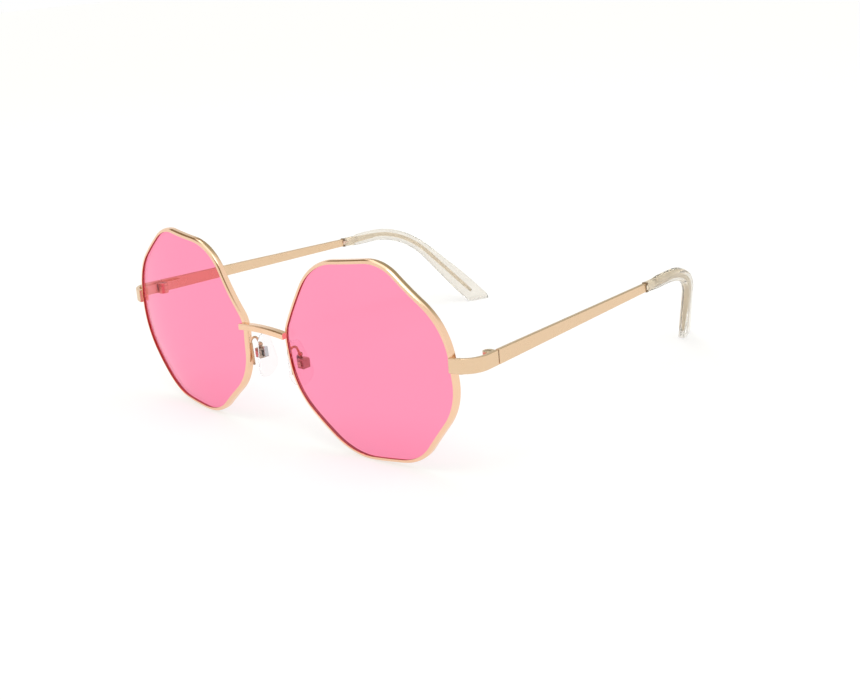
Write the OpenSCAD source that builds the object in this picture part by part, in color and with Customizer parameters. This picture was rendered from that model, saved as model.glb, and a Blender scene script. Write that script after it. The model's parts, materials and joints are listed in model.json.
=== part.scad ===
// Metal sunglasses with eight-sided lenses, temples open, standing on the rims and on both temple tips.
// +Z is up, the front faces -Y, +X is the wearer's left. All lengths are in millimetres.

/* [Lens outline] */
// Directions the upper sides face, from the temple side over the top to the nose side
upper_turns = [4.5, 51.5, 96, 148];
// Directions the lower sides face, from the nose side under the bottom to the temple side
lower_turns = [185, 231, 275.5, 321.5];
// Distances of the upper sides from the lens centre
upper_reach = [27.7, 26.2, 25.8, 26.1];
// Distances of the lower sides from the lens centre
lower_reach = [27.5, 25.5, 25.8, 26.8];
// Rounding of the corners after each upper side
upper_round = [19.5, 13, 16.5, 9];
// Rounding of the corners after each lower side
lower_round = [18, 17.5, 13.5, 17.5];

/* [Lens and rim] */
// Distance between the two lens centres
centre_gap = 74; // [66:0.5:80]
// Radius of the curved front of the lenses
base_radius = 92; // [70:1:140]
// Turn of each lens round the face
wrap = 4.8; // [0:0.1:8]
// Thickness of the lens
lens_t = 1.1; // [0.8:0.1:2]
// How far the lens face lies behind the front of the rim
lens_set = 0.4; // [0:0.1:0.8]
// Width of the rim seen from the front
rim_w = 0.8; // [0.6:0.1:2]
// Depth of the rim from front to back
rim_d = 1.7; // [1.6:0.1:3]
// Depth of the groove that holds the lens
groove_d = 0.4; // [0.2:0.1:0.5]
// Width of the groove
groove_w = 0.6; // [0.4:0.1:0.8]
// Gap where the rim is cut at the closing blocks
rim_cut = 0.2; // [0.1:0.1:0.4]

/* [Bridge] */
// How far the bar reaches past the inner edge of each rim
bridge_lap = 0.3; // [0:0.1:1]
// Height of the bar
bridge_h = 1.7; // [1.2:0.1:3]
// Depth of the bar from front to back
bridge_d = 1.8; // [1.2:0.1:2.4]
// Height of the bar's ends above the lens centres
bridge_up = 3.6; // [2:0.1:8]
// Rise of the bar in the middle
bridge_rise = 0.5; // [0.2:0.1:2]
// Front face of the bar behind the lens front
bridge_y = 0.5; // [0:0.1:1]

/* [Endpiece] */
// Thickness of the endpiece and of the temple
band_t = 1.1; // [0.8:0.1:1.6]
// Height of the endpiece
band_h = 3.8; // [3:0.1:5]
// Outer radius of the endpiece bend
band_round = 6.5; // [4:0.1:9]
// Turn of the endpiece bend
band_turn = 80.5; // [70:0.5:90]
// Straight part of the endpiece on the rim
band_foot = 1.9; // [1:0.1:3]
// Space taken by the endpiece bend from front to back
band_bend = 6.1; // [5:0.1:8]
// Edge of the closing blocks
block = 2.4; // [2:0.1:3]
// Diameter of the rim screw
rim_screw_d = 1; // [0.8:0.1:1.4]

/* [Hinge] */
// Hinge axis out from the outer edge of the lens
hinge_out = 3.35; // [2.5:0.05:5]
// Hinge axis behind the outer edge of the lens
hinge_back = 10; // [8:0.1:14]
// Middle of the hinge above the lens centres
hinge_z = 3; // [0:0.1:8]
// Diameter of the hinge barrels
barrel_d = 3; // [2.6:0.1:4]
// Diameter of the hinge screw
hinge_screw_d = 1.4; // [1:0.1:1.6]
// Free space between the barrels
barrel_play = 0.05; // [0.02:0.01:0.1]
// Thickness of the hinge leaves
leaf_t = 1; // [0.6:0.1:1.2]
// Length of the hinge leaves
leaf_l = 5; // [3:0.1:8]
// Distance from the axis back to the slit between endpiece and temple
slit_y = 0.5; // [0:0.1:3]
// Free space between the barrels and the endpiece
barrel_gap = 0.2; // [0.1:0.05:0.5]
// Width of the slit
slit_w = 0.1; // [0.05:0.01:0.3]

/* [Temple] */
// Turn of the open temples towards each other
toe = 5.6; // [0:0.1:10]
// Fall of the temples towards the back
pitch = 2.4; // [0:0.1:8]
// Hinge axis to the front of the temple tip
temple_l = 71.5; // [60:0.1:90]
// Height of the temple at the tip
temple_end_h = 2.4; // [2:0.1:4]
// Thickness of the core wire in the tip
core_d = 1.3; // [1:0.1:1.6]

/* [Temple tip] */
// Straight front part of the tip
tip_run = 12.8; // [5:0.1:30]
// Radius of the bend behind the ear
tip_bend = 25.7; // [15:0.1:40]
// Angle of the bend
tip_angle = 54.5; // [30:0.5:70]
// Straight end of the core wire behind the bend
core_end = 21.5; // [10:0.1:30]
// Turn of the bend towards the head
tip_turn = 29.3; // [0:0.1:40]
// Width at the front, in the bend and at the end
tip_widths = [2.7, 3.7, 6.5];
// Thickness of the tip
tip_t = 2.6; // [2:0.1:4]
// Length of the narrow collar
collar_l = 5; // [2:0.1:8]
// Straight end of the tip's upper edge, up to its rounded corner
tip_end = 26.5; // [20:0.1:32]
// Rounding of the corner at the end
tip_round = 2.2; // [0.5:0.1:3]

/* [Nose pads] */
// Height, width and thickness of a pad
pad_size = [13, 7, 2];
// Middle of the pad from the lens centres' level
pad_at = [6.6, 6.9, -6];
// Tilt of the pad round x, y and z
pad_tilt = [6.5, -3.5, -8];
// Middle of the pad box
box_at = [9.1, 6.8, -5.6];
// Size of the pad box
box_size = [2.3, 2.4, 2.6];
// Wall of the pad box
box_wall = 0.5; // [0.3:0.1:0.6]
// Diameter of the pad screw
pad_screw_d = 0.8; // [0.6:0.1:1]
// Thickness of the pad arm
wire_d = 0.9; // [0.7:0.1:1.2]

/* [Placing] */
// Lean of the whole front
lean = 1.7; // [0:0.1:5]
// Distance from the lens front to the middle of the object
mid_y = 69; // [50:0.1:80]

/* [Hidden] */
$fn = 96;
turns = concat(upper_turns, lower_turns);
reach = concat(upper_reach, lower_reach);
rounds = concat(upper_round, lower_round);
fit = 0.05;
// Outer edge of the lens opening, at its widest
function sag(r) = base_radius - sqrt(base_radius * base_radius - r * r);
side_x = centre_gap / 2 + upper_reach[0] * cos(wrap) - sag(upper_reach[0]) * sin(wrap);
side_y = upper_reach[0] * sin(wrap) + sag(upper_reach[0]) * cos(wrap);
hinge_x = side_x + hinge_out;
hinge_y = side_y + hinge_back;
face_x = barrel_d / 2 + barrel_gap + band_t;
band_run = hinge_back - band_bend;
stack_h = band_h - 0.3;
nose_x = centre_gap / 2 - lower_reach[0];
bridge_half = nose_x + bridge_lap;
lens_up = lower_reach[2] + rim_w + 0.12;

// Where two side lines of the outline meet
function meet(a, p, b, q) =
  [(p * sin(b) - q * sin(a)) / sin(b - a), (q * cos(a) - p * cos(b)) / sin(b - a)];
function next(i) = (i + 1) % 8;
// Centre of the rounding between side i and the next
function corner(i) =
  meet(turns[i], reach[i] - rounds[i], turns[next(i)], reach[next(i)] - rounds[i]);
// Points of an arc from one direction to another
function arc(centre, r, from, to, steps) =
  [for (k = [0:steps]) let (a = from + (to - from) * k / steps) centre + r * [cos(a), sin(a)]];

// Lens outline, grown outwards by the given amount
module outline(grow) {
  polygon([for (i = [0:7]) let (last = i == 7 ? turns[0] + 360 : turns[i + 1])
    each arc(corner(i), rounds[i] + grow, turns[i], last, 10)]);
}

// Prism of the outline through the lens, from front to back
module prism(grow) {
  translate([0, 16, 0]) rotate([90, 0, 0]) linear_extrude(24) outline(grow);
}

// Ball whose front lies the given distance behind the front of the rim
module ball(back) {
  translate([0, base_radius, 0]) sphere(r = base_radius - back, $fn = 200);
}

// Curved sheet of the outline between two depths
module sheet(grow, front, back) {
  difference() {
    intersection() {
      prism(grow);
      ball(front);
    }
    ball(back);
  }
}

// Places the whole object on the floor
module stand() {
  translate([0, -mid_y, lens_up]) rotate([lean, 0, 0]) children();
}

// Lens frame of the left side
module eye() {
  translate([centre_gap / 2, 0, 0]) rotate([0, 0, wrap]) children();
}

// Hinge frame of the left side: origin on the axis, y along the temple
module side() {
  translate([hinge_x, hinge_y, hinge_z]) rotate([0, 0, toe]) rotate([-pitch, 0, 0]) children();
}

// Frame of the closing blocks, on the outer side of the rim
module closing() {
  side() translate([1.2 - hinge_out, 1.7 - hinge_back, 0]) children();
}

// Space taken by the rim and everything behind its front inside the rim
module rim_space() {
  eye() intersection() {
    prism(rim_w);
    ball(0);
  }
}

module rim_shape() {
  groove_at = lens_set + lens_t / 2;
  difference() {
    eye() difference() {
      sheet(rim_w, 0, rim_d);
      prism(0);
      sheet(groove_d, groove_at - groove_w / 2, groove_at + groove_w / 2);
    }
    closing() translate([-4, -3, -rim_cut / 2]) cube([6, 6, rim_cut]);
  }
}

module lens_shape() {
  groove_at = lens_set + lens_t / 2;
  eye() {
    sheet(-fit, lens_set, lens_set + lens_t);
    sheet(groove_d, groove_at - groove_w / 2 + fit, groove_at + groove_w / 2 - fit);
  }
}

module bridge_shape() {
  bow = (bridge_half * bridge_half / bridge_rise + bridge_rise) / 2;
  difference() {
    translate([0, bridge_y + bridge_d, bridge_up + bridge_rise - bow]) rotate([90, 0, 0])
      linear_extrude(bridge_d) intersection() {
        difference() {
          circle(r = bow + bridge_h / 2, $fn = 400);
          circle(r = bow - bridge_h / 2, $fn = 400);
        }
        translate([-bridge_half, bow - 4]) square([2 * bridge_half, 8]);
      }
    rim_space();
    mirror([1, 0, 0]) rim_space();
  }
}

// Bent strip of the endpiece seen from above, in the hinge frame
module band_plan(inside, outside) {
  centre = [face_x - band_round, -band_run];
  translate([face_x - band_t - inside, -band_run])
    square([band_t + inside + outside, band_run + slit_y - slit_w]);
  translate(centre) {
    difference() {
      circle(r = band_round + outside);
      circle(r = band_round - band_t - inside);
      rotate(90 - band_turn) translate([-40, -40]) square([40, 80]);
      translate([-40, 0]) square([80, 40]);
    }
    rotate(-band_turn) translate([band_round - band_t - inside, -band_foot])
      square([band_t + inside + outside, band_foot]);
  }
}

module endpiece_shape() {
  difference() {
    side() translate([0, 0, -band_h / 2]) linear_extrude(band_h) band_plan(0, 0);
    rim_space();
  }
}

// One closing block, above the cut or below it
module block_shape(up) {
  tall = band_h / 2 - rim_cut / 2;
  difference() {
    closing() difference() {
      translate([-block / 2 - 1, -block / 2, up ? rim_cut / 2 : -rim_cut / 2 - tall])
        cube([block + 1, block, tall]);
      translate([0, 0, -5]) cylinder(d = rim_screw_d + 2 * fit, h = 10);
    }
    rim_space();
    side() translate([0, 0, -band_h]) linear_extrude(2 * band_h) band_plan(0, 3);
  }
}

module rim_screw_shape() {
  closing() {
    translate([0, 0, -band_h / 2]) cylinder(d = rim_screw_d, h = band_h - 0.2);
    difference() {
      translate([0, 0, -band_h / 2 - 0.5]) cylinder(d = 1.7, h = 0.5);
      translate([-1, -0.12, -band_h / 2 - 0.6]) cube([2, 0.24, 0.3]);
    }
  }
}

// Strip on the rim that turns into an arch over to the pad box
module pad_arm_shape() {
  middle = [4.55, -1.75];
  bend = 1.25;
  half = wire_d / 2;
  drop = [sin(20), -cos(20)];
  foot = middle + bend * [cos(20), sin(20)] + 3.2 * drop;
  difference() {
    union() {
      translate([nose_x - rim_w - 1, 2.9, -8]) cube([1, 0.8, 6.2]);
      translate([nose_x - 1.4, 0, 0]) rotate([90, 0, 90]) linear_extrude(wire_d)
        polygon(concat([[middle[0] - bend + half, -2.6], [middle[0] - bend - half, -2.6]],
          arc(middle, bend + half, 180, 20, 12), [foot + half * [cos(20), sin(20)]],
          [foot - half * [cos(20), sin(20)]], arc(middle, bend - half, 20, 180, 12)));
      translate([nose_x - 0.9, 6.4, -3.1]) sphere(d = 1.4, $fn = 48);
    }
    eye() sheet(rim_w, 0, rim_d);
    translate(box_at - box_size / 2) cube(box_size);
  }
}

module pad_box_shape() {
  hollow = box_size - [box_wall - 0.2, 2 * box_wall, 2 * box_wall - 0.2];
  difference() {
    translate(box_at - box_size / 2) cube(box_size);
    translate(box_at - [box_size[0] / 2 + 0.01, hollow[1] / 2, hollow[2] / 2]) cube(hollow);
    translate(box_at) rotate([90, 0, 0])
      cylinder(d = pad_screw_d + 2 * fit, h = box_size[1] + 1, center = true);
  }
}

module pad_screw_shape() {
  translate(box_at) rotate([90, 0, 0]) {
    cylinder(d = pad_screw_d, h = box_size[1] + 0.2, center = true);
    difference() {
      translate([0, 0, box_size[1] / 2]) cylinder(d = 1.5, h = 0.4);
      translate([-1, -0.1, box_size[1] / 2 + 0.25]) cube([2, 0.2, 0.3]);
    }
  }
}

// Metal plate in the back of the pad with the lug that the pad screw holds
module pad_insert_shape() {
  lug = box_size[1] - 2 * box_wall - 0.2;
  difference() {
    union() {
      translate([pad_at[0] + 0.35, box_at[1] - 1.1, box_at[2] - 1.4]) cube([0.5, 2.2, 3.4]);
      translate(box_at) rotate([90, 0, 0]) cylinder(d = 1.4, h = lug, center = true);
      translate(box_at - [box_at[0] - pad_at[0] - 0.5, lug / 2, 0.6])
        cube([box_at[0] - pad_at[0] - 0.5, lug, 1.2]);
    }
    translate(box_at) rotate([90, 0, 0])
      cylinder(d = pad_screw_d + 2 * fit, h = 4, center = true);
  }
}

module nose_pad_shape() {
  low = pad_size[1] / 2;
  high = 2.3;
  rise = pad_size[0] - low - high;
  lead = asin((low - high) / rise);
  difference() {
    translate(pad_at) rotate(pad_tilt) intersection() {
      translate([-pad_size[2] / 2, 0, low - pad_size[0] / 2]) rotate([90, 0, 90])
        linear_extrude(pad_size[2]) polygon(concat(arc([0, 0], low, 180 - lead, 360 + lead, 24),
          arc([0, rise], high, lead, 180 - lead, 16)));
      translate([16 - pad_size[2] / 2, 0, 0]) sphere(r = 16, $fn = 200);
      translate([pad_size[2] / 2 - 20, 0, 0]) sphere(r = 20, $fn = 200);
    }
    translate([pad_at[0] + 0.35, box_at[1] - 1.1, box_at[2] - 1.4]) cube([3, 2.2, 3.4]);
  }
}

// Front leaf of the hinge: a plate on the endpiece with the lower and the upper barrel
module front_leaf_shape() {
  low = -stack_h / 2;
  third = stack_h / 3;
  side() difference() {
    union() {
      translate([face_x - band_t - leaf_t, -barrel_d / 2 - 0.1 - leaf_l, low])
        cube([leaf_t, leaf_l, stack_h]);
      for (z = [low, low + 2 * third + barrel_play]) translate([0, 0, z]) {
        cylinder(d = barrel_d, h = third - barrel_play);
        translate([0, -barrel_d / 2 - 0.2, 0])
          cube([face_x - band_t, barrel_d / 2 + 0.2, third - barrel_play]);
      }
    }
    translate([0, 0, -5]) cylinder(d = hinge_screw_d + 2 * fit, h = 10);
    translate([0, 0, -low - 0.5]) cylinder(d = 2.2 + 2 * fit, h = 2);
    translate([0, 0, -5]) linear_extrude(10) band_plan(0, 3);
  }
}

// Rear leaf of the hinge: a plate on the temple with the middle barrel
module temple_leaf_shape() {
  third = stack_h / 3;
  side() difference() {
    union() {
      translate([face_x - band_t - leaf_t, barrel_d / 2 + 0.1, -stack_h / 2])
        cube([leaf_t, leaf_l, stack_h]);
      translate([0, 0, -third / 2]) {
        cylinder(d = barrel_d, h = third);
        cube([face_x - band_t - 0.1, barrel_d / 2 + 0.3, third]);
      }
    }
    translate([0, 0, -5]) cylinder(d = hinge_screw_d + 2 * fit, h = 10);
  }
}

// Screw with its slotted head sunk into the upper barrel
module hinge_screw_shape() {
  top = stack_h / 2;
  side() difference() {
    union() {
      translate([0, 0, -top]) cylinder(d = hinge_screw_d, h = 2 * top - 0.4);
      translate([0, 0, top - 0.5]) cylinder(d = 2.2, h = 0.5);
    }
    translate([-2, -0.15, top - 0.25]) cube([4, 0.3, 1]);
  }
}

// Frame of the tip: y runs on from the temple, the bend goes down and towards the head
module tip_frame() {
  side() translate([face_x - band_t / 2, temple_l, 0]) rotate([0, tip_turn, 0]) children();
}

// Square core along the path of the tip, longer than the wire by the given amount
module core(d, more) {
  stations = concat([-0.5, tip_run], [for (k = [1:14]) tip_run + (bend_end - tip_run) * k / 14],
    [bend_end + core_end + more]);
  last = len(stations) - 1;
  tip_frame() translate([-d / 2, 0, 0]) rotate([90, 0, 90]) linear_extrude(d)
    polygon(concat([for (s = stations) tip_side(s, d / 2)],
      [for (i = [last:-1:0]) tip_side(stations[i], -d / 2)]));
}

module temple_shape() {
  side() translate([face_x - band_t, 0, 0]) rotate([90, 0, 90]) linear_extrude(band_t)
    polygon([[slit_y, -band_h / 2], [temple_l, -temple_end_h / 2],
      [temple_l, temple_end_h / 2], [slit_y, band_h / 2]]);
  core(core_d, 0);
}

// Width of the tip at a distance along its path
function ease(t) = let (c = max(0, min(1, t))) c * c * (3 - 2 * c);
bend_end = tip_run + tip_bend * tip_angle * PI / 180;
function tip_width(s) = s < collar_l ? tip_widths[0]
  : tip_widths[1] + (tip_widths[2] - tip_widths[1]) * ease((s - bend_end + 8) / 28);
function tip_lean(s) = max(0, min(tip_angle, (s - tip_run) / tip_bend * 180 / PI));
function tip_at(s) = let (a = tip_lean(s)) [min(s, tip_run), -tip_bend] + tip_bend * [sin(a), cos(a)]
  + max(0, s - bend_end) * [cos(a), -sin(a)];
function tip_side(s, half) = let (a = tip_lean(s)) tip_at(s) + half * [sin(a), cos(a)];

module temple_tip_shape() {
  steps = concat([0, collar_l - 0.01, collar_l, tip_run],
    [for (k = [1:14]) tip_run + (bend_end - tip_run) * k / 14],
    [for (k = [1:10]) bend_end + tip_end * k / 10]);
  corner_at = tip_side(bend_end + tip_end, tip_widths[2] / 2 - tip_round);
  difference() {
    tip_frame() translate([-tip_t / 2, 0, 0]) rotate([90, 0, 90]) linear_extrude(tip_t)
      polygon(concat([for (s = steps) tip_side(s, tip_width(s) / 2)],
        arc(corner_at, tip_round, 90 - tip_angle, -tip_angle, 8),
        [tip_side(bend_end + tip_end + tip_round, -tip_widths[2] / 2)],
        [for (i = [len(steps) - 1:-1:0]) tip_side(steps[i], -tip_width(steps[i]) / 2)]));
    core(core_d + 2 * fit, fit);
  }
}

module gold() { color([0.9, 0.76, 0.56]) stand() children(); }
module gold_right() { gold() mirror([1, 0, 0]) children(); }
module steel() { color([0.72, 0.7, 0.66]) stand() children(); }
module clear(tint) { color(tint) stand() children(); }
pink = [0.98, 0.6, 0.66];
milk = [0.93, 0.91, 0.86];

module rim_left() { gold() rim_shape(); }
module rim_right() { gold_right() rim_shape(); }
module lens_left() { clear(pink) lens_shape(); }
module lens_right() { clear(pink) mirror([1, 0, 0]) lens_shape(); }
module bridge() { gold() bridge_shape(); }
module endpiece_left() { gold() endpiece_shape(); }
module endpiece_right() { gold_right() endpiece_shape(); }
module block_upper_left() { gold() block_shape(true); }
module block_upper_right() { gold_right() block_shape(true); }
module block_lower_left() { gold() block_shape(false); }
module block_lower_right() { gold_right() block_shape(false); }
module rim_screw_left() { steel() rim_screw_shape(); }
module rim_screw_right() { steel() mirror([1, 0, 0]) rim_screw_shape(); }
module pad_arm_left() { gold() pad_arm_shape(); }
module pad_arm_right() { gold_right() pad_arm_shape(); }
module pad_box_left() { gold() pad_box_shape(); }
module pad_box_right() { gold_right() pad_box_shape(); }
module pad_screw_left() { steel() pad_screw_shape(); }
module pad_screw_right() { steel() mirror([1, 0, 0]) pad_screw_shape(); }
module pad_insert_left() { steel() pad_insert_shape(); }
module pad_insert_right() { steel() mirror([1, 0, 0]) pad_insert_shape(); }
module nose_pad_left() { clear(milk) nose_pad_shape(); }
module nose_pad_right() { clear(milk) mirror([1, 0, 0]) nose_pad_shape(); }
module hinge_front_leaf_left() { gold() front_leaf_shape(); }
module hinge_front_leaf_right() { gold_right() front_leaf_shape(); }
module hinge_temple_leaf_left() { gold() temple_leaf_shape(); }
module hinge_temple_leaf_right() { gold_right() temple_leaf_shape(); }
module hinge_screw_left() { steel() hinge_screw_shape(); }
module hinge_screw_right() { steel() mirror([1, 0, 0]) hinge_screw_shape(); }
module temple_left() { gold() temple_shape(); }
module temple_right() { gold_right() temple_shape(); }
// The end of each tip is cut level with the floor
module above_floor() {
  intersection() {
    children();
    translate([-100, -100, 0]) cube([200, 200, 60]);
  }
}
module temple_tip_left() { above_floor() clear(milk) temple_tip_shape(); }
module temple_tip_right() { above_floor() clear(milk) mirror([1, 0, 0]) temple_tip_shape(); }

rim_left();
rim_right();
lens_left();
lens_right();
bridge();
endpiece_left();
endpiece_right();
block_upper_left();
block_upper_right();
block_lower_left();
block_lower_right();
rim_screw_left();
rim_screw_right();
pad_arm_left();
pad_arm_right();
pad_box_left();
pad_box_right();
pad_screw_left();
pad_screw_right();
pad_insert_left();
pad_insert_right();
nose_pad_left();
nose_pad_right();
hinge_front_leaf_left();
hinge_front_leaf_right();
hinge_temple_leaf_left();
hinge_temple_leaf_right();
hinge_screw_left();
hinge_screw_right();
temple_left();
temple_right();
temple_tip_left();
temple_tip_right();
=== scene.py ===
"""Pale gold metal sunglasses with eight-sided pink lenses, standing open on a white table.

Lengths are in millimetres unless a comment says otherwise. In the frame of the front, x points to
the wearer's left, y to the back, height 0 is at the lens centres and y 0 at the front of the
lenses. Paired parts are made for the left and mirrored for the right.
"""
import json
import math

import bmesh
import bpy
from mathutils import Matrix, Vector


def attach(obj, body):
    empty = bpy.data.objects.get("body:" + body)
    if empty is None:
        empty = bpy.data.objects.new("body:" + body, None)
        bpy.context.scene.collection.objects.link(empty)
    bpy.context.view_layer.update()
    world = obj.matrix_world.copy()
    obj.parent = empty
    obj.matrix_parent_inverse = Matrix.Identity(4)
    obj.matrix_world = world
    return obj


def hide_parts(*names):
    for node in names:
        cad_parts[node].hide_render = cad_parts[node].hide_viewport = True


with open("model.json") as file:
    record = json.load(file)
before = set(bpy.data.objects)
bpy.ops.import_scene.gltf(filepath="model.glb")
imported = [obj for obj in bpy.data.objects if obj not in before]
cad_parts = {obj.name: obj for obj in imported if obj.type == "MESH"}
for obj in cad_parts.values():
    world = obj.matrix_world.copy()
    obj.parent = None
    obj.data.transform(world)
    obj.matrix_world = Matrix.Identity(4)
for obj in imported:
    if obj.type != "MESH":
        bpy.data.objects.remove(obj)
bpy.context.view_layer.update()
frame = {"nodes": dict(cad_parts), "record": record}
MM = 0.001  # in metres


# ---------------------------------------------------------------- sizes and places
def shift(x, y, z):
    return Matrix.Translation((x, y, z))


def spin(degrees, axis):
    return Matrix.Rotation(math.radians(degrees), 4, axis)


# Standing: the front leans back a little, and the middle of the object is at the origin.
LENS_UP, MID_Y = 26.72, 69.0
STAND = shift(0, -MID_Y, LENS_UP) @ spin(1.7, "X")
# The frame of the lens and rim, wrapped round the face.
EYE = shift(37, 0, 0) @ spin(4.8, "Z")
# Radius of the ball that the lens fronts follow.
BALL = 92.0
RIM_W = 0.8
# The frame of the hinge: its axis upright at the origin, the temple along y.
SIDE = shift(67.596, 16.572, 3) @ spin(5.6, "Z") @ spin(-2.4, "X")
# Outer face, thickness and height of the band that endpiece and temple are made of.
FACE_X, BAND_T, BAND_H = 2.8, 1.1, 3.8
STACK = 3.5  # full height of the three hinge barrels
TEMPLE_L = 71.5
# The tip runs straight, bends down round a radius and runs straight again.
TIP_RUN, TIP_BEND, TIP_ANGLE = 12.8, 25.7, math.radians(54.5)
BEND_END = TIP_RUN + TIP_BEND * TIP_ANGLE
REAR = SIDE @ shift(FACE_X - BAND_T / 2, TEMPLE_L, 0)
TIP = REAR @ spin(26.3, "Y")
FRONT = Matrix.Identity(4)
NOSE_X = 9.5  # the lens opening's edge at the nose


# ---------------------------------------------------------------- camera
def aim_camera():
    """The photograph's viewpoint, above the wearer's left and in front."""
    az, el, roll = math.radians(45.366), math.radians(17.468), math.radians(-4.667)
    # The camera was placed with the lens centres at height placed_up, and moves with them.
    distance, slide, lift, placed_up = 357.16, 43.37, 24.64, 27.3
    focal_px, picture_px, sensor = 1302, 860, 36
    back = Vector((math.sin(az) * math.cos(el), -math.cos(az) * math.cos(el), math.sin(el)))
    right = Vector((math.cos(az), math.sin(az), 0))
    up = back.cross(right)
    across = right * math.cos(roll) + up * math.sin(roll)
    upward = up * math.cos(roll) - right * math.sin(roll)
    place = back * distance + across * slide + upward * lift
    place += Vector((0, -MID_Y, LENS_UP - placed_up))
    data = bpy.data.cameras.new("camera")
    data.sensor_width = sensor
    data.lens = sensor * focal_px / picture_px
    data.clip_start, data.clip_end = 0.01, 20  # metres
    camera = bpy.data.objects.new("camera", data)
    bpy.context.scene.collection.objects.link(camera)
    turn = Matrix((across, upward, back)).transposed().to_4x4()
    camera.matrix_world = Matrix.Translation(place * MM) @ turn
    bpy.context.scene.camera = camera


# ---------------------------------------------------------------- node tools
def colour(code):
    """An sRGB hex code as the linear values that Blender takes."""
    parts = [int(code[i:i + 2], 16) / 255 for i in (1, 3, 5)]
    linear = (c / 12.92 if c <= 0.04045 else ((c + 0.055) / 1.055) ** 2.4 for c in parts)
    return tuple(linear) + (1,)


def add(tree, kind, settings=(), **links):
    """Adds a node, sets its values and links its inputs, named with _ for a space."""
    node = tree.nodes.new(kind)
    for key, value in dict(settings).items():
        if key in node.inputs:
            node.inputs[key].default_value = value
        else:
            setattr(node, key, value)
    for key, source in links.items():
        tree.links.new(source, node.inputs[key.replace("_", " ")])
    return node


def feed(tree, sockets, sources):
    """Gives each socket its source, which is an output, a number or a colour."""
    for socket, source in zip(sockets, sources):
        if isinstance(source, (int, float, tuple)):
            socket.default_value = source
        else:
            tree.links.new(source, socket)


def join(tree, kind, *sources):
    """A node that takes the sources in the order of its inputs."""
    node = add(tree, kind)
    feed(tree, node.inputs, sources)
    return node


def maths(tree, operation, *sources):
    node = add(tree, "ShaderNodeMath", {"operation": operation})
    feed(tree, node.inputs, sources)
    return node.outputs[0]


def blend(tree, factor, first, second):
    """A colour between two others."""
    mix = add(tree, "ShaderNodeMix", {"data_type": "RGBA"}, Factor=factor)
    feed(tree, (mix.inputs["A"], mix.inputs["B"]), (first, second))
    return mix.outputs["Result"]


def mottle(tree, size, detail=3.0):
    """Uneven field whose patches are about the given size."""
    place = add(tree, "ShaderNodeTexCoord")
    noise = add(tree, "ShaderNodeTexNoise", {"Scale": 1 / (size * MM), "Detail": detail},
                Vector=place.outputs["Object"])
    return noise.outputs["Fac"]


def span(tree, source, low, high):
    """Carries the middle of a mottled field to a narrow span of values."""
    return add(tree, "ShaderNodeMapRange", {"From Min": 0.3, "From Max": 0.7,
                                            "To Min": low, "To Max": high},
               Value=source).outputs[0]


# ---------------------------------------------------------------- materials
def new_finish(name, settings):
    made = bpy.data.materials.new(name)
    made.use_nodes = True
    shader = made.node_tree.nodes["Principled BSDF"]
    for key, value in settings.items():
        shader.inputs[key].default_value = value
    return made, made.node_tree, shader


def stain(tree, shader, field, dark, light):
    """Colours a surface between two codes, by a field."""
    shade = blend(tree, field, colour(dark), colour(light))
    tree.links.new(shade, shader.inputs["Base Color"])


def ripple(tree, shader, size, detail, strength):
    """Bends the light a little in waves of the given size, 0.1 mm deep at full strength."""
    bump = add(tree, "ShaderNodeBump", {"Strength": strength, "Distance": 0.1 * MM},
               Height=mottle(tree, size, detail))
    tree.links.new(bump.outputs[0], shader.inputs["Normal"])


def gold_plating(name, dark, light, rough, wave, metallic=1.0):
    """Plated gold: a mirror with patches duller than others and faint polishing waves."""
    made, tree, shader = new_finish(name, {"Metallic": metallic})
    patches = mottle(tree, 2.5)
    stain(tree, shader, patches, dark, light)
    tree.links.new(span(tree, patches, rough * 0.8, rough * 1.25), shader.inputs["Roughness"])
    ripple(tree, shader, wave, 2.0, 0.06)
    return made


def pink_lens():
    """Dyed lens plastic: clear and glossy, a little unevenly dyed."""
    made, tree, shader = new_finish("dyed pink lens plastic", {
        "Roughness": 0.0, "IOR": 1.1, "Transmission Weight": 1.0, "Specular IOR Level": 0.2})
    stain(tree, shader, mottle(tree, 30, 1.0), "#FF97B8", "#FF9ABA")
    return made


def tip_plastic():
    """Cellulose acetate, polished by tumbling: clear, faintly milky, with soft waves."""
    made, tree, shader = new_finish("clear acetate", {
        "IOR": 1.28, "Transmission Weight": 0.87, "Roughness": 0.12, "Specular IOR Level": 0.25})
    stain(tree, shader, mottle(tree, 6, 2.0), "#F1EDE4", "#F8F5EE")
    ripple(tree, shader, 3, 1.0, 0.015)
    return made


def pad_silicone():
    """Moulded silicone: clear and soft-looking, with a fine matt skin."""
    made, tree, shader = new_finish("clear moulded silicone", {
        "IOR": 1.12, "Transmission Weight": 0.97, "Specular IOR Level": 0.05})
    skin = mottle(tree, 0.4, 2.0)
    stain(tree, shader, skin, "#FBF8FA", "#FFFDFE")
    tree.links.new(span(tree, skin, 0.05, 0.1), shader.inputs["Roughness"])
    return made


def turned_steel(name, dark, light):
    """Turned steel: fine rings from the cutting tool, drawn at 0.12 mm so that they show."""
    made, tree, shader = new_finish(name, {"Metallic": 1.0, "Roughness": 0.3})
    waves_in_one = 20  # a wave texture repeats this often in one unit of its scale
    place = add(tree, "ShaderNodeTexCoord")
    rings = add(tree, "ShaderNodeTexWave",
                {"Scale": 1 / (0.12 * MM) / waves_in_one, "Distortion": 2.0},
                Vector=place.outputs["Object"])
    stain(tree, shader, rings.outputs["Fac"], dark, light)
    return made


def painted_gap_shade():
    """Painted shade in the gap before the tip: a dark brown, dull, mottled ring."""
    made, tree, shader = new_finish("painted shade in the gap before the tip", {"Roughness": 0.6})
    stain(tree, shader, mottle(tree, 0.5), "#78624A", "#A48C6C")
    return made


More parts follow.
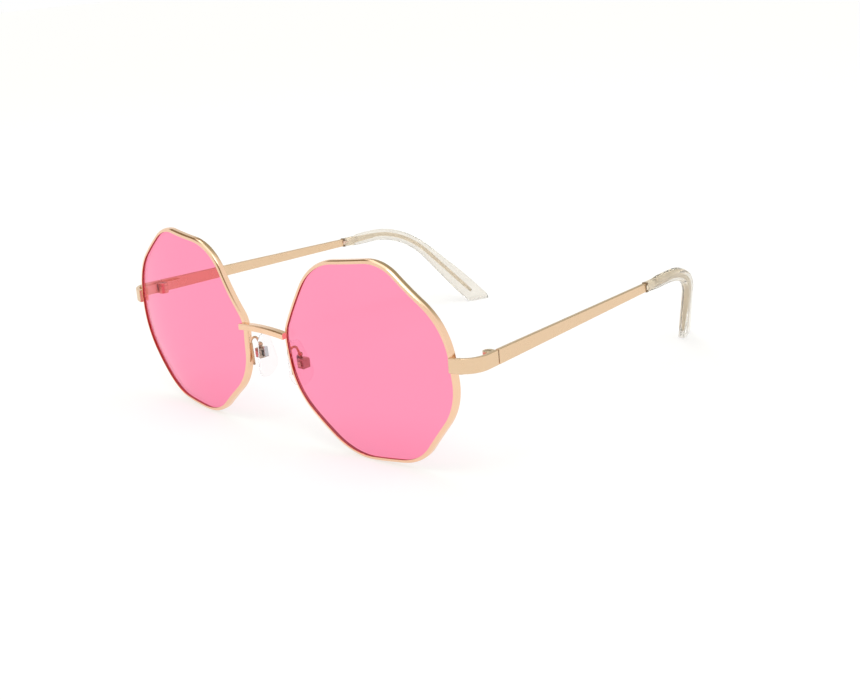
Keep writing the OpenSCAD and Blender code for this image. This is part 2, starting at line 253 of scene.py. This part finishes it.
FINISHES = {
    # The rims and the bridge mirror the white room sharply.
    "gold_rim": gold_plating("polished pale gold plating", "#F0C8A6", "#F6D2B2", 0.14, 1.5),
    # Endpieces, temples and hinges are evenly beige, without sharp reflections.
    "gold_band": gold_plating("satin pale gold plating", "#E2C3A0", "#EACDAC", 0.3, 0.8),
    "lens_tint": pink_lens(),
    "tip_clear": tip_plastic(),
    "pad_clear": pad_silicone(),
    # A cool grey spot inside the clear pads.
    "pad_metal": turned_steel("stamped steel insert", "#B4B4B8", "#D2D2D6"),
    # Screw heads almost as pale as the gold round them, so that the slot shows.
    "screw_steel": turned_steel("turned screw, gold-washed steel", "#C6B494", "#E0D0B0"),
}
# A dark brown ring of painted shade for the gap between each temple and its tip.
GAP_SHADE_PAINT = painted_gap_shade()
# A pale, dull thread inside the tips.
CORE_GOLD = gold_plating("core wire, dull under the plastic", "#EEE0C8", "#F8ECD8", 0.45, 0.8)
# The small wires at the nose are painted darker and browner than the rims, as painted shade.
SHADED_PAD_GOLD = gold_plating("pad fittings, gold darkened as painted shade", "#C49A7A", "#D8B090", 0.26, 0.8)
# Half dull, so that the boxes keep their own colour beside the pink lenses. Their gold is painted
# darker than the rims' as painted shade.
SHADED_BOX_GOLD = gold_plating("pad boxes, dull gold darkened as painted shade", "#C8B09A", "#DCC6B2", 0.55, 0.8, 0.3)
# The red line round each lens: the inside of the rim is painted dark red, as painted shade tinted
# by a painted pink reflection of the lens edge.
RED_PAINTED_SHADE = gold_plating("inside of the rim, painted red shade", "#A03024", "#C24636", 0.4, 0.8)


# ---------------------------------------------------------------- mesh tools
def piece(name, points, faces, body, nodes, slot, bevel=0.0, matter=None):
    """A piece of points in the standing frame, dressed and attached to its body."""
    mesh = bpy.data.meshes.new(name)
    mesh.from_pydata([tuple(Vector(p) * MM) for p in points], [], faces)
    shape = bmesh.new()
    shape.from_mesh(mesh)
    bmesh.ops.recalc_face_normals(shape, faces=shape.faces)
    shape.to_mesh(mesh)
    shape.free()
    made = bpy.data.objects.new(name, mesh)
    bpy.context.scene.collection.objects.link(made)
    mesh.materials.append(matter or FINISHES[slot])
    soften(made, bevel)
    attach(made, body)
    if nodes:
        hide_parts(*nodes)
    return made


def soften(made, bevel):
    """Rounds the sharp edges as tumbling does, and keeps flat faces flat."""
    for face in made.data.polygons:
        face.use_smooth = True
    if bevel:
        edge = made.modifiers.new("edge", "BEVEL")
        edge.width, edge.segments = bevel * MM, 3
        edge.limit_method, edge.angle_limit = "ANGLE", math.radians(35)
        edge.harden_normals = True
        edge.use_clamp_overlap = True
    made.modifiers.new("even", "WEIGHTED_NORMAL").keep_sharp = True


def placed(points, turn, sign):
    """Points of a left-hand part in the standing frame, mirrored for the right-hand one."""
    full = STAND @ Matrix.Diagonal((sign, 1, 1, 1)) @ turn
    return [full @ Vector(p) for p in points]


def loft(rings, closed=False, caps=True):
    """Faces between rings of equal length, and the points in one list."""
    count, n = len(rings), len(rings[0])
    points = [p for ring in rings for p in ring]
    faces = []
    for i in range(count if closed else count - 1):
        a, b = i * n, (i + 1) % count * n
        faces += [(a + k, a + (k + 1) % n, b + (k + 1) % n, b + k) for k in range(n)]
    if caps and not closed:
        faces += [tuple(range(n)), tuple(range((count - 1) * n, count * n))]
    return points, faces


def merged(groups):
    """Several closed forms as one piece."""
    points, faces = [], []
    for p, f in groups:
        faces += [tuple(i + len(points) for i in face) for face in f]
        points += p
    return points, faces


def steps(start, end, count):
    """Numbers from start to end in equal steps, with both."""
    return [start + (end - start) * k / count for k in range(count + 1)]


def full_turn(sides):
    return [2 * math.pi * k / sides for k in range(sides)]


def heading(angle):
    return Vector((math.cos(angle), math.sin(angle)))


def ease(t):
    """Goes smoothly from 0 to 1 while t does."""
    t = max(0.0, min(1.0, t))
    return t * t * (3 - 2 * t)


def rounded(corners, radius, count=3):
    """A profile whose convex corners are rounded in the given number of steps."""
    made = []
    for i, corner in enumerate(corners):
        corner = Vector(corner)
        if not radius[i]:
            made.append(corner)
            continue
        before = Vector(corners[i - 1]) - corner
        after = Vector(corners[(i + 1) % len(corners)]) - corner
        start = corner + before.normalized() * radius[i]
        end = corner + after.normalized() * radius[i]
        made += [start * (1 - t) ** 2 + corner * 2 * t * (1 - t) + end * t * t
                 for t in steps(0, 1, count)]
    return made


def block(x, y, z, radius):
    """Corners of a rectangle in y and z, rounded, carried from one x to another."""
    body = rounded([(y[0], z[0]), (y[1], z[0]), (y[1], z[1]), (y[0], z[1])], [radius] * 4, 4)
    return loft([[(at, p.x, p.y) for p in body] for at in x])


def tube(path, radius, sides, taper=lambda t: 1):
    """Round wire along a path. The taper gives the share of the radius at each share of the way."""
    rings = []
    path = [Vector(p) for p in path]
    side = None
    for i, point in enumerate(path):
        ahead = (path[min(i + 1, len(path) - 1)] - path[max(i - 1, 0)]).normalized()
        side = side or ahead.orthogonal()
        side = (side - ahead * side.dot(ahead)).normalized()
        other = ahead.cross(side)
        r = radius * taper(i / (len(path) - 1))
        rings.append([point + side * r * math.cos(a) + other * r * math.sin(a)
                      for a in full_turn(sides)])
    return loft(rings)


def turned(section):
    """A ring whose section of radius and height goes once round the z axis."""
    return loft([[(r * math.cos(t), r * math.sin(t), z) for r, z in section]
                 for t in full_turn(32)], closed=True)


def disc(radius, low, high):
    return loft([[(radius * math.cos(t), radius * math.sin(t), z) for t in full_turn(32)]
                 for z in (low, high)])


def slotted(radius, low, high, slot):
    """The two halves of a screw head on either side of its slot."""
    lead = math.asin(slot / 2 / radius)
    halves = []
    for half in (1, -1):
        body = [(radius * math.cos(t), half * radius * math.sin(t))
                for t in steps(lead, math.pi - lead, 16)]
        halves.append(loft([[(x, y, z) for x, y in body] for z in (low, high)]))
    return halves


# ---------------------------------------------------------------- lens outline
# Each of the eight sides: the way it faces in degrees, how far out it lies, and the radius of
# the corner after it.
TURNS = [4.5, 51.5, 96, 148, 185, 231, 275.5, 321.5]
REACH = [27.7, 26.2, 25.8, 26.1, 27.5, 25.5, 25.8, 26.8]
ROUNDS = [19.5, 13, 16.5, 9, 18, 17.5, 13.5, 17.5]


def outline():
    """Points of the eight-sided outline with the way outwards at each."""
    in_corner, on_side = 22, 1.2  # steps in a corner, and the shortest step on a side
    found = []
    for i in range(8):
        j = (i + 1) % 8
        a, b = math.radians(TURNS[i]), math.radians(TURNS[j] + (360 if j == 0 else 0))
        p, q = REACH[i] - ROUNDS[i], REACH[j] - ROUNDS[i]
        centre = Vector((p * math.sin(b) - q * math.sin(a), q * math.cos(a) - p * math.cos(b)))
        centre /= math.sin(b - a)
        found += [(centre + ROUNDS[i] * heading(t), heading(t)) for t in steps(a, b, in_corner)]
    full = []
    for (p, m), (q, n) in zip(found, found[1:] + found[:1]):
        full.append((p, m))
        count = int((q - p).length / on_side)
        full += [(p.lerp(q, k / count), m.lerp(n, k / count).normalized())
                 for k in range(1, count)]
    return full


OUTLINE = outline()


def on_ball(flat, depth):
    """The point of the curved front, or of a face the given depth behind it."""
    return Vector((flat.x, BALL - math.sqrt((BALL - depth) ** 2 - flat.length_squared), flat.y))


def rims(side, sign):
    """Grooved rim wire, rolled round the lens and cut open beside the closing blocks."""
    cut, half_cut = 3.38, 0.1
    outer = [i for i, (p, n) in enumerate(OUTLINE) if p.x >= 0]
    start = min(outer, key=lambda i: abs(OUTLINE[i][0].y - cut))
    way = OUTLINE[start:] + OUTLINE[:start]
    (first, out), (last, out_last) = way[0], way[-1]
    way[0] = (Vector((first.x, cut + half_cut)), out)
    way.append((Vector((last.x, cut - half_cut)), out_last))
    # The profile: outwards from the lens edge, and backwards from the front.
    lip, back, sill = -0.2, 1.5, 0.56
    groove, groove_end, floor = 0.78, 1.18, 0.4
    profile = rounded(
        [(lip, 0), (0.5, 0), (0.63, 0.13), (RIM_W, 0.3), (RIM_W, 0.9), (RIM_W, back), (0, back),
         (0, groove_end), (floor, groove_end), (floor, groove), (0, groove), (0, sill),
         (lip, sill)],
        [0.08, 0, 0, 0.2, 0, 0.12, 0.12, 0, 0, 0, 0, 0, 0.05], 5)

    def faces_inwards(g):
        """Whether a point of the profile is on the inside, away from the rounded corners."""
        on_lip = g.x < lip + 0.06 and g.y > 0.07
        on_wall = g.x < 0.01 and 0.1 < g.y < back - 0.14
        on_floor = 0.3 < g.x < floor + 0.01 and g.y > 0.1
        return on_lip or on_wall or on_floor

    # These inside faces get the rim's painted red shade.
    inner = {k for k, g in enumerate(profile) if faces_inwards(g)}
    points, faces = loft([[on_ball(p + n * g.x, g.y) for g in profile] for p, n in way])
    made = piece("rim_wire_" + side, placed(points, EYE, sign), faces, "front",
                 ["rim_" + side], "gold_rim")
    made.data.set_sharp_from_angle(angle=math.radians(34))
    # Second material: painted shade tinted red by a painted reflection of the lens.
    made.data.materials.append(RED_PAINTED_SHADE)
    for face in made.data.polygons:
        if len(face.vertices) == 4 and all(v % len(profile) in inner for v in face.vertices):
            face.material_index = 1


def lens(side, sign):
    """Curved lens with the edge tongue that sits in the groove."""
    front, back, play = 0.6, 1.3, 0.05
    tongue, tongue_front, tongue_back = 0.35, 0.82, 1.14
    edge = [(-play, front), (-play, tongue_front), (tongue, tongue_front),
            (tongue, tongue_back), (-play, tongue_back), (-play, back)]
    count = 22
    rings = [[on_ball((p - n * play) * (k / count), front) for p, n in OUTLINE]
             for k in range(1, count)]
    rings += [[on_ball(p + n * g, d) for p, n in OUTLINE] for g, d in edge]
    rings += [[on_ball((p - n * play) * (k / count), back) for p, n in OUTLINE]
              for k in range(count - 1, 0, -1)]
    points, faces = loft(rings, caps=False)
    n, last = len(OUTLINE), len(points)
    points += [on_ball(Vector((0, 0)), front), on_ball(Vector((0, 0)), back)]
    faces += [(last, k, (k + 1) % n) for k in range(n)]
    faces += [(last + 1, last - n + (k + 1) % n, last - n + k) for k in range(n)]
    piece("lens_sheet_" + side, placed(points, EYE, sign), faces, "front",
          ["lens_" + side], "lens_tint")


# ---------------------------------------------------------------- bridge and endpieces
def bridge():
    """Straight bar with a slight rise, its ends lapped over the lips of both rims."""
    half, rise, up = 9.3, 0.5, 3.6
    front, rear, tall, chamfer = 0.5, 2.3, 0.85, (0.3, 0.35)
    lap, sunk = 8.45, 0.02  # where the ends start to lie on the rims, and how deep they sit
    bow = (half * half / rise + rise) / 2
    middle = [x * 0.8 for x in range(-10, 11)]
    rings = []
    for x in [-half, -9.0, -8.5, -8.44] + middle + [8.44, 8.5, 9.0, half]:
        behind = rear
        if abs(x) > lap:
            local = EYE.inverted() @ Vector((abs(x), 0, up))
            behind = min(rear, (EYE @ on_ball(Vector((local.x, local.z)), 0)).y + sunk)
        mid = up + rise - bow + math.sqrt(bow * bow - x * x)
        rings.append([(x, front, mid - tall), (x, front, mid + tall - chamfer[1]),
                      (x, front + chamfer[0], mid + tall), (x, behind, mid + tall),
                      (x, behind, mid - tall)])
    points, faces = loft(rings)
    piece("bridge_bar", placed(points, FRONT, 1), faces, "front", ["bridge"], "gold_rim", 0.12)


def endpieces(side, sign):
    """Flat strip bent from the front of the rim round to the hinge."""
    bend, bend_y, turn = 6.5, -3.9, math.radians(-80.5)
    centre = Vector((FACE_X - bend, bend_y))
    out, along = heading(turn), Vector((-math.sin(turn), math.cos(turn)))
    plan = [(centre + out * bend - along * d, out) for d in (1.7, 1.0)]
    plan += [(centre + bend * heading(t), heading(t)) for t in steps(turn, 0, 24)]
    plan += [(Vector((FACE_X, y)), Vector((1, 0))) for y in (-2.5, -1, 0.3)]
    rings = []
    for p, n in plan:
        q = p - n * BAND_T
        rings.append([(p.x, p.y, -BAND_H / 2), (p.x, p.y, BAND_H / 2),
                      (q.x, q.y, BAND_H / 2), (q.x, q.y, -BAND_H / 2)])
    points, faces = loft(rings)
    piece("endpiece_strip_" + side, placed(points, SIDE, sign), faces, "front",
          ["endpiece_" + side], "gold_band", 0.2)


# ---------------------------------------------------------------- temples and tips
def lean_at(s):
    """How far the tip points down at the given distance from its front end."""
    return max(0.0, min(TIP_ANGLE, (s - TIP_RUN) / TIP_BEND))


def path_at(s):
    """The middle line of the tip at the given distance from its front end."""
    a = lean_at(s)
    tail = max(0.0, s - BEND_END)
    return Vector((0, min(s, TIP_RUN) + TIP_BEND * math.sin(a) + tail * math.cos(a),
                   -TIP_BEND + TIP_BEND * math.cos(a) - tail * math.sin(a)))


def temples(side, sign):
    """Flat strip that narrows to the back, and the core wire and a dark ring of painted shade
    behind it.
    """
    body = side + "_temple"
    # The strip's front end, where its taper starts, and half its height at the rear end.
    front, slit, narrow = 0.6, 0.5, 1.2
    x0, x1 = FACE_X - BAND_T, FACE_X
    rings = []
    for y in [front] + list(range(8, 71, 9)) + [TEMPLE_L]:
        h = BAND_H / 2 + (narrow - BAND_H / 2) * (y - slit) / (TEMPLE_L - slit)
        rings.append([(x0, y, -h), (x0, y, h), (x1, y, h), (x1, y, -h)])
    points, faces = loft(rings)
    piece("temple_strip_" + side, placed(points, SIDE, sign), faces, body,
          ["temple_" + side], "gold_band", 0.16)

    wire, wire_tail = 0.64, 21.4
    way = [-0.4, 4, 8, 12] + steps(TIP_RUN, BEND_END, 20)
    way += steps(BEND_END, BEND_END + wire_tail, 8)[1:]
    points, faces = tube([path_at(s) for s in way], wire, 18,
                         lambda t: 1 + 0.6 * ease(1 - t * 6) if t < 0.97 else 0.8)
    piece("core_wire_" + side, placed(points, TIP, sign), faces, body, [], "gold_band",
          0, CORE_GOLD)

    half_x, half_z = 0.8, 1.38
    points, faces = loft([[(-half_x, y, -half_z), (half_x, y, -half_z), (half_x, y, half_z),
                           (-half_x, y, half_z)] for y in (-0.4, 0.35)])
    # The dark ring is painted shade in the gap before the tip.
    piece("gap_shade_band_" + side, placed(points, REAR, sign), faces, body, [], "gold_band",
          0.1, GAP_SHADE_PAINT)


TIP_TAIL, TIP_CORNER = 26.4, 2.2  # straight end after the bend, rounding of its upper corner
COLLAR, STEP = 4, 7  # where the narrow collar ends, and where the step after it is complete


def tip_ring(s):
    """The section of the tip at the given distance from its front end."""
    # From 8 before the end of the bend the tip widens from 3.7 to 6.5 over a length of 28.
    wide, thick = 3.7 + 2.8 * ease((s - BEND_END + 8) / 28), 2.6
    low = wide / 2
    if s < STEP:
        # The collar is 2.7 by 2.45. Above, the step is short; below, the tip swells evenly.
        share = ease((s - COLLAR) / (STEP - COLLAR))
        wide, thick = 2.7 + 1.0 * share, 2.45 + 0.15 * share
        low = 1.35 + 0.5 * ease(s / STEP)
    if s == 0:
        edge = 0.3  # taken off the front end
        wide, thick = wide - edge, thick - edge
    high = wide / 2
    beyond = s - BEND_END - TIP_TAIL
    if beyond > 0:
        high += -TIP_CORNER + math.sqrt(max(0.0, TIP_CORNER ** 2 - beyond ** 2))
    twist = math.radians(-18) * ease((s - TIP_RUN) / 34)  # takes back most of the turn in TIP
    a = lean_at(s)
    up, out = Vector((0, math.sin(a), math.cos(a))), Vector((1, 0, 0))
    width_way = up * math.cos(twist) + out * math.sin(twist)
    thick_way = out * math.cos(twist) - up * math.sin(twist)
    square_x, square_z = 0.5, 0.6  # 1 is an ellipse, 0 a rectangle
    ring = []
    for t in full_turn(64):
        c, d = math.cos(t), math.sin(t)
        x = math.copysign(abs(c) ** square_x, c) * thick / 2
        z = math.copysign(abs(d) ** square_z, d) * (high + low) / 2 + (high - low) / 2
        ring.append(path_at(s) + thick_way * x + width_way * z)
    return ring


def cut_level(points, faces):
    """Takes away what would be in the table, and closes the cut."""
    above_table = 0.02
    shape = bmesh.new()
    corners = [shape.verts.new(p * MM) for p in points]
    for f in faces:
        shape.faces.new([corners[i] for i in f])
    cut = bmesh.ops.bisect_plane(shape, geom=shape.verts[:] + shape.edges[:] + shape.faces[:],
                                 plane_co=(0, 0, above_table * MM), plane_no=(0, 0, -1),
                                 clear_outer=True)
    rim = [g for g in cut["geom_cut"] if isinstance(g, bmesh.types.BMEdge)]
    bmesh.ops.holes_fill(shape, edges=rim, sides=0)
    shape.verts.ensure_lookup_table()
    shape.verts.index_update()
    points = [v.co / MM for v in shape.verts]
    faces = [[v.index for v in f.verts] for f in shape.faces]
    shape.free()
    return points, faces


def tips(side, sign):
    """Clear paddle: a narrow collar, a step, a round middle and a broad end, cut level."""
    stations = [0, 0.15, 0.4, 2.5, 4, 4.5, 5, 5.5, 6, 6.5, 7, 7.5, 8.2, 9, 10, 11, 12]
    stations += steps(TIP_RUN, BEND_END, 44)
    stations += steps(BEND_END, BEND_END + TIP_TAIL, 28)[1:]
    stations += [BEND_END + TIP_TAIL + TIP_CORNER * t for t in (0.3, 0.55, 0.75, 0.9, 0.98, 1.0)]
    points, faces = loft([tip_ring(s) for s in stations])
    points, faces = cut_level(placed(points, TIP, sign), faces)
    piece("tip_paddle_" + side, points, faces, side + "_temple",
          ["temple_tip_" + side], "tip_clear", 0.35)


# ---------------------------------------------------------------- nose pads
def nose_pads(side, sign):
    """Clear pad, thickest in the middle, on the insert that the pad screw holds."""
    tall, low, high = 13, 3.5, 2.3  # height, radius of the broad lower end and of the upper end
    # Half the thickness, twice the radius that the pad is dished to, and the widening sideways.
    half_thick, dish, spread = 0.92, 90, 1.1
    lead = math.asin((low - high) / (tall - low - high))
    edge = [low * heading(t) + Vector((0, low - tall / 2))
            for t in steps(math.pi - lead, 2 * math.pi + lead, 72)]
    edge += [high * heading(t) + Vector((0, tall / 2 - high))
             for t in steps(lead, math.pi - lead, 48)]
    turn = shift(6.6, 6.9, -6) @ spin(-8, "Z") @ spin(-3.5, "Y") @ spin(6.5, "X")
    shares = [0.2, 0.4, 0.58, 0.72, 0.82, 0.89, 0.94, 0.97, 0.988, 0.997]

    def pad_ring(share, face):
        half = half_thick * (1 - share ** 2.4) ** 0.5
        return [(face * half + (p * share).length_squared / dish, p.x * share * spread,
                 p.y * share) for p in edge]

    rings = [pad_ring(share, -1) for share in shares] + [pad_ring(1, 1)]
    rings += [pad_ring(share, 1) for share in shares[::-1]]
    points, faces = loft(rings)
    piece("pad_" + side, placed(points, turn, sign), faces, side + "_pad",
          ["nose_pad_" + side], "pad_clear")


def pad_inserts(side, sign):
    """Small stamped plate set in the back of the pad, with the lug that the pad screw holds."""
    y = 6.8
    plate = block((6.97, 7.4), (y - 0.6, y + 0.6), (-6.5, -3.6), 0.4)
    lug = block((7.3, 9.6), (y - 0.5, y + 0.5), (-6.15, -5.05), 0.4)
    points, faces = merged([plate, lug])
    piece("pad_plate_" + side, placed(points, FRONT, sign), faces, side + "_pad",
          ["pad_insert_" + side], "pad_metal", 0.08)


def pad_arms(side, sign):
    """Strip soldered to the rim, arched over as a wire with a small ball, down to the pad box."""
    x, wire = NOSE_X - 0.95, 0.33
    middle, bend, end = Vector((4.55, -1.75)), 1.25, math.radians(20)
    way = [(x - 0.05, 3.3, -3.2), (x - 0.03, 3.3, -2.4)]
    arch = [middle + bend * heading(t) for t in steps(math.pi, end, 14)]
    down = Vector((math.sin(end), -math.cos(end)))
    arch += [middle + bend * heading(end) + down * d for d in (0.8, 1.6, 2.4, 3.15)]
    way += [(x, p.x, p.y) for p in arch]

    ball, ball_x, ball_y, ball_z = 0.68, x + 0.05, 6.4, -3.1
    ball_rings = [[(ball_x + ball * math.sin(v) * math.cos(h),
                    ball_y + ball * math.sin(v) * math.sin(h), ball_z + ball * math.cos(v))
                   for h in full_turn(16)] for v in steps(0.04 * math.pi, 0.96 * math.pi, 10)]

    inner, outer, front, rear = NOSE_X - 1.5, NOSE_X - 0.85, 2.95, 3.55
    strip = rounded([(inner, front), (outer, front), (outer, rear), (inner, rear)],
                    [0.2, 0.1, 0.2, 0.25])
    strip_rings = [[(p.x, p.y, z) for p in strip] for z in (-8, -5, -2.4, -1.85)]
    points, faces = merged([tube(way, wire, 16), loft(ball_rings), loft(strip_rings)])
    # The wires take the gold darkened as painted shade.
    piece("pad_wire_" + side, placed(points, FRONT, sign), faces, "front",
          ["pad_arm_" + side], "gold_rim", 0, SHADED_PAD_GOLD)


# ---------------------------------------------------------------- hinges and screws
def hinges(side, sign):
    """Three-barrel hinge: two barrels on the front leaf, one on the temple leaf, and a screw."""
    foot, third, gap = -STACK / 2, STACK / 6, 0.03
    top, seat = 1.4, 0.95  # the upper barrel's top, and the seat of the screw head in it
    bore, wide_bore, outer = 0.76, 1.12, 1.5
    plate_x, plate_z, web_x = (0.7, 1.68), (-1.25, 1.25), (0.95, outer)

    def leaf(plate, web, heights):
        """A plate against the band, and a web from it to each barrel."""
        made = [block(plate_x, plate, plate_z, 0.3)]
        for low, high in heights:
            made.append(loft([[(x, web[0], low), (x, web[1], low), (x, web[1], high),
                               (x, web[0], high)] for x in web_x]))
        return made

    front = [turned([(bore, foot), (outer, foot), (outer, -third - gap), (bore, -third - gap)]),
             turned([(bore, third + gap), (outer, third + gap), (outer, top), (wide_bore, top),
                     (wide_bore, seat), (bore, seat)])]
    front += leaf((-6.6, -1.6), (-1.7, -0.75), ((foot, -third - gap), (third + gap, top)))
    rear = [turned([(bore, -third), (outer, -third), (outer, third), (bore, third)])]
    rear += leaf((1.6, 6.6), (0.75, 1.7), ((-third, third),))
    for name, groups, body in (("front", front, "front"), ("temple", rear, side + "_temple")):
        points, faces = merged(groups)
        piece("hinge_knuckles_%s_%s" % (name, side), placed(points, SIDE, sign), faces, body,
              ["hinge_%s_leaf_%s" % (name, side)], "gold_band", 0.08)
    shaft, head, slot = 0.7, 1.08, 0.34
    points, faces = merged([disc(shaft, foot, seat + 0.2)]
                           + slotted(head, seat, top + 0.05, slot))
    piece("hinge_bolt_" + side, placed(points, SIDE, sign), faces, "front",
          ["hinge_screw_" + side], "screw_steel", 0.05)


def closing_blocks(side, sign):
    """Upper closing block and the screw through it: head below, the end filed level on top."""
    place = SIDE @ shift(-2.15, -8.3, 0)  # the screw's axis
    foot, top = 0.1, 1.35
    body = rounded([(-1.05, -1.0), (1.2, -1.0), (1.2, 0.8), (-1.05, 0.8)], [0.2] * 4, 4)
    points, faces = loft([[(p.x, p.y, z) for p in body] for z in (foot, top)])
    piece("block_cap_" + side, placed(points, place, sign), faces, "front",
          ["block_upper_" + side], "gold_band", 0.12)
    shaft, head, slot = 0.5, 0.8, 0.24
    end, seat, slot_floor, head_end = top + 0.05, -1.9, -2.1, -2.3
    points, faces = merged([disc(shaft, seat - 0.05, end), disc(head, slot_floor, seat)]
                           + slotted(head, head_end, slot_floor, slot))
    piece("rim_bolt_" + side, placed(points, place, sign), faces, "front",
          ["rim_screw_" + side], "screw_steel", 0.05)


# ---------------------------------------------------------------- small CAD parts that stay
def dress_cad():
    """Gives the CAD nodes that stay their finish, and rounded edges."""
    for part in frame["record"]["subparts"]:
        name = part["node"]
        node = frame["nodes"][name]
        node.data.materials.clear()
        # Pad boxes take the gold darkened as painted shade.
        boxed = name.startswith("pad_box")
        node.data.materials.append(SHADED_BOX_GOLD if boxed else FINISHES[part["material_slot"]])
        if name.startswith(("block", "hinge", "pad_box", "pad_screw")):
            soften(node, 0.08 if "screw" in name else 0.15)


# ---------------------------------------------------------------- studio
WHITE = (1.0, 1.0, 1.0, 1)
OVERHEAD = (1.5, 1.5, 1.46, 1)
KHAKI = (0.4, 0.42, 0.32, 1)
GAP = (0.28, 0.23, 0.14, 1)


def white_room():
    """White paper all round, as metal sees it: a brighter sheet overhead, a khaki wall high up
    at the back and a dark gap below the sheet at the front and left. The camera sees plain
    white, also through the clear parts. Each edge is given as the two heights, or nearnesses to
    a direction, between which it fades in."""
    scene = bpy.context.scene
    scene.view_settings.view_transform = "Standard"
    world = bpy.data.worlds.new("studio")
    scene.world = world
    world.use_nodes = True
    tree = world.node_tree
    tree.nodes.clear()
    place = add(tree, "ShaderNodeTexCoord").outputs["Generated"]
    up = add(tree, "ShaderNodeSeparateXYZ", Vector=place).outputs["Z"]

    def between(source, low, high):
        return add(tree, "ShaderNodeMapRange",
                   {"From Min": low, "From Max": high, "interpolation_type": "SMOOTHSTEP"},
                   Value=source).outputs[0]

    def facing(aim, low, high):
        near = add(tree, "ShaderNodeVectorMath", {"operation": "DOT_PRODUCT"})
        feed(tree, near.inputs, (place, aim))
        return between(near.outputs["Value"], low, high)

    in_gap = maths(tree, "MULTIPLY", between(up, 0.44, 0.56), between(up, 0.84, 0.76))
    in_gap = maths(tree, "MULTIPLY", in_gap, facing((-0.7, -0.7, 0), -0.15, 0.2))
    look = blend(tree, between(up, 0.82, 0.9), WHITE, OVERHEAD)
    look = blend(tree, facing((-0.2, 0.75, 0.63), 0.7, 0.97), look, KHAKI)
    look = blend(tree, in_gap, look, GAP)
    path = add(tree, "ShaderNodeLightPath")
    seen = maths(tree, "MAXIMUM", path.outputs["Is Camera Ray"],
                 path.outputs["Is Transmission Ray"])
    light = add(tree, "ShaderNodeBackground", {"Strength": 1.0}, Color=look)
    shown = add(tree, "ShaderNodeBackground", {"Color": WHITE, "Strength": 1.0})
    mix = join(tree, "ShaderNodeMixShader", seen, light.outputs[0], shown.outputs[0])
    join(tree, "ShaderNodeOutputWorld", mix.outputs[0])


def white_table():
    """Matt white paper that keeps the object's shadow. To the camera, and to rays that metal
    and clear parts send on, it is lifted to plain white."""
    half, grey, lift = 4, 0.5, 0.565  # metres, the paper's shade and the added glow
    table = bpy.data.objects.new("table", bpy.data.meshes.new("table"))
    table.data.from_pydata([(-half, -half, 0), (half, -half, 0), (half, half, 0),
                            (-half, half, 0)], [], [(0, 1, 2, 3)])
    bpy.context.scene.collection.objects.link(table)
    made = bpy.data.materials.new("white table")
    made.use_nodes = True
    tree = made.node_tree
    tree.nodes.clear()
    path = add(tree, "ShaderNodeLightPath")
    seen = maths(tree, "MAXIMUM", path.outputs["Is Camera Ray"],
                 path.outputs["Is Transmission Ray"])
    seen = maths(tree, "MAXIMUM", seen, path.outputs["Is Glossy Ray"])
    paper = add(tree, "ShaderNodeBsdfDiffuse", {"Color": (grey, grey, grey, 1)})
    glow = add(tree, "ShaderNodeEmission", {"Color": WHITE},
               Strength=maths(tree, "MULTIPLY", seen, lift))
    both = join(tree, "ShaderNodeAddShader", paper.outputs[0], glow.outputs[0])
    join(tree, "ShaderNodeOutputMaterial", both.outputs[0])
    table.data.materials.append(made)


def lamps():
    """Two small soft boxes that draw the shadow. Places and sizes in metres, power in watts."""
    for name, place, size, power in (
            ("soft box over the front", (0.2, -0.35, 0.8), 0.25, 0.6),
            ("soft box over the left", (-0.45, 0.2, 0.7), 0.25, 0.4)):
        data = bpy.data.lights.new(name, "AREA")
        data.size, data.energy = size, power
        lamp = bpy.data.objects.new(name, data)
        bpy.context.scene.collection.objects.link(lamp)
        lamp.location = place
        lamp.rotation_euler = (-Vector(place)).to_track_quat("-Z", "Y").to_euler()


aim_camera()
white_room()
white_table()
lamps()
dress_cad()
bridge()
for side, sign in (("left", 1), ("right", -1)):
    rims(side, sign)
    lens(side, sign)
    endpieces(side, sign)
    temples(side, sign)
    tips(side, sign)
    nose_pads(side, sign)
    pad_inserts(side, sign)
    pad_arms(side, sign)
    hinges(side, sign)
    closing_blocks(side, sign)
